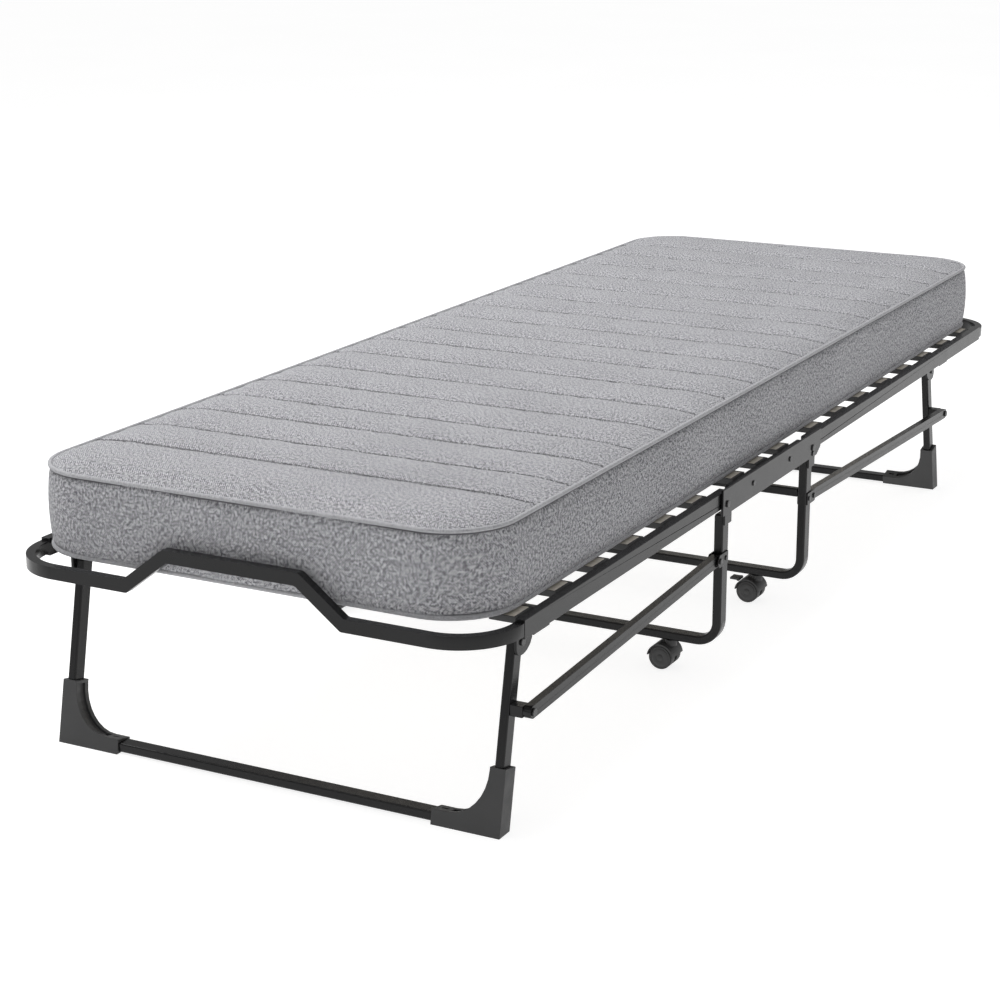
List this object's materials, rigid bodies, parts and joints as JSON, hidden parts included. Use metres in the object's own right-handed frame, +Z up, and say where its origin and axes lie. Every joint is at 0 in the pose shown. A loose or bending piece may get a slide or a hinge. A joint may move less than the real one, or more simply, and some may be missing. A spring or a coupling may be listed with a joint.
{
  "type": "folding cot",
  "caption": "Rollaway folding cot with slatted steel frame, hinged end sections, folding end legs, caster frames and a piped mattress.",
  "frame": {"origin": "on the floor below the middle of the frame", "axes": "+X to the right seen from the foot end, +Y from the foot end to the head end, +Z up"},
  "size_m": [0.697, 1.936, 0.378],
  "materials": {
    "black_steel": "satin powder coat",
    "slat_wood": "sanded, clear matt lacquer",
    "black_plastic": "fine moulded grain",
    "wheel_rubber": "smooth",
    "dark_rivet": "blackened steel",
    "grey_fabric": "heather twill weave"
  },
  "bodies": {
    "centre_section": {"centre_plate_left": "black_steel", "centre_plate_right": "black_steel", "centre_rail_left": "black_steel", "centre_rail_right": "black_steel", "fold_pins": "dark_rivet", "centre_slats": "slat_wood", "centre_slat_caps": "black_plastic", "caster_frame_foot": "black_steel", "caster_frame_head": "black_steel", "caster_frame_crossbar": "black_steel", "foot_brace_bracket": "black_steel", "head_brace_bracket": "black_steel", "foot_brace_pin": "dark_rivet", "head_brace_pin": "dark_rivet", "rivets": "dark_rivet", "mattress_centre": "grey_fabric", "caster_stems": "dark_rivet"},
    "foot_section": {"foot_rail_left": "black_steel", "foot_rail_right": "black_steel", "foot_end_rail": "black_steel", "foot_slats": "slat_wood", "foot_slat_caps": "black_plastic", "foot_leg_brackets": "black_steel", "mattress_foot": "grey_fabric"},
    "foot_leg": {"foot_leg_tube_left": "black_steel", "foot_leg_tube_right": "black_steel", "foot_leg_bar": "black_steel", "foot_boot_left": "black_plastic", "foot_boot_right": "black_plastic", "foot_leg_brace_block": "black_steel", "foot_leg_pins": "dark_rivet"},
    "foot_brace": {"foot_brace_tube": "black_steel"},
    "caster_foot_left": {"caster_hood_foot_left": "black_plastic"},
    "caster_foot_left_wheels": {"caster_wheels_foot_left": "wheel_rubber"},
    "caster_foot_right": {"caster_hood_foot_right": "black_plastic"},
    "caster_foot_right_wheels": {"caster_wheels_foot_right": "wheel_rubber"},
    "head_section": {"head_rail_left": "black_steel", "head_rail_right": "black_steel", "head_end_rail": "black_steel", "head_slats": "slat_wood", "head_slat_caps": "black_plastic", "head_leg_brackets": "black_steel", "mattress_head": "grey_fabric"},
    "head_leg": {"head_leg_tube_left": "black_steel", "head_leg_tube_right": "black_steel", "head_leg_bar": "black_steel", "head_boot_left": "black_plastic", "head_boot_right": "black_plastic", "head_leg_brace_block": "black_steel", "head_leg_pins": "dark_rivet"},
    "head_brace": {"head_brace_tube": "black_steel"},
    "caster_head_left": {"caster_hood_head_left": "black_plastic"},
    "caster_head_left_wheels": {"caster_wheels_head_left": "wheel_rubber"},
    "brake_left": {"caster_brake_left": "black_plastic"},
    "caster_head_right": {"caster_hood_head_right": "black_plastic"},
    "caster_head_right_wheels": {"caster_wheels_head_right": "wheel_rubber"},
    "brake_right": {"caster_brake_right": "black_plastic"}
  },
  "joints": [
    {"name": "foot_fold", "type": "hinge", "parent": "centre_section", "child": "foot_section", "pos_m": [0, -0.298, 0.2485], "axis": [-1, 0, 0], "range_deg": [0, 90]},
    {"name": "foot_leg_fold", "type": "hinge", "parent": "foot_section", "child": "foot_leg", "pos_m": [0, -0.845, 0.224], "axis": [-1, 0, 0], "range_deg": [-90, 0]},
    {"name": "foot_brace_swing", "type": "hinge", "parent": "centre_section", "child": "foot_brace", "pos_m": [0, -0.314, 0.1715], "axis": [-1, 0, 0], "range_deg": [0, 90]},
    {"name": "caster_foot_left_swivel", "type": "hinge", "parent": "centre_section", "child": "caster_foot_left", "pos_m": [-0.266, -0.295, 0.04], "axis": [0, 0, 1], "continuous": true},
    {"name": "caster_foot_left_roll", "type": "hinge", "parent": "caster_foot_left", "child": "caster_foot_left_wheels", "pos_m": [-0.275, -0.295, 0.0178], "axis": [0, 1, 0], "continuous": true},
    {"name": "caster_foot_right_swivel", "type": "hinge", "parent": "centre_section", "child": "caster_foot_right", "pos_m": [0.266, -0.295, 0.04], "axis": [0, 0, 1], "continuous": true},
    {"name": "caster_foot_right_roll", "type": "hinge", "parent": "caster_foot_right", "child": "caster_foot_right_wheels", "pos_m": [0.257, -0.295, 0.0178], "axis": [0, 1, 0], "continuous": true},
    {"name": "head_fold", "type": "hinge", "parent": "centre_section", "child": "head_section", "pos_m": [0, 0.028, 0.2485], "axis": [1, 0, 0], "range_deg": [0, 90]},
    {"name": "head_leg_fold", "type": "hinge", "parent": "head_section", "child": "head_leg", "pos_m": [0, 0.6875, 0.224], "axis": [1, 0, 0], "range_deg": [-90, 0]},
    {"name": "head_brace_swing", "type": "hinge", "parent": "centre_section", "child": "head_brace", "pos_m": [0, 0.044, 0.1715], "axis": [1, 0, 0], "range_deg": [0, 90]},
    {"name": "caster_head_left_swivel", "type": "hinge", "parent": "centre_section", "child": "caster_head_left", "pos_m": [-0.266, 0.025, 0.04], "axis": [0, 0, 1], "continuous": true},
    {"name": "caster_head_left_roll", "type": "hinge", "parent": "caster_head_left", "child": "caster_head_left_wheels", "pos_m": [-0.275, 0.025, 0.0178], "axis": [0, 1, 0], "continuous": true},
    {"name": "brake_left_press", "type": "hinge", "parent": "caster_head_left", "child": "brake_left", "pos_m": [-0.293, 0.025, 0.0318], "axis": [0, -1, 0], "range_deg": [0, 12]},
    {"name": "caster_head_right_swivel", "type": "hinge", "parent": "centre_section", "child": "caster_head_right", "pos_m": [0.266, 0.025, 0.04], "axis": [0, 0, 1], "continuous": true},
    {"name": "caster_head_right_roll", "type": "hinge", "parent": "caster_head_right", "child": "caster_head_right_wheels", "pos_m": [0.257, 0.025, 0.0178], "axis": [0, 1, 0], "continuous": true},
    {"name": "brake_right_press", "type": "hinge", "parent": "caster_head_right", "child": "brake_right", "pos_m": [0.239, 0.025, 0.0318], "axis": [0, -1, 0], "range_deg": [0, 12]}
  ],
  "couplings": [
    {"joint": "foot_leg_fold", "follows": "foot_fold", "ratio": -1},
    {"joint": "foot_brace_swing", "follows": "foot_fold", "ratio": 1},
    {"joint": "head_leg_fold", "follows": "head_fold", "ratio": -1},
    {"joint": "head_brace_swing", "follows": "head_fold", "ratio": 1}
  ]
}
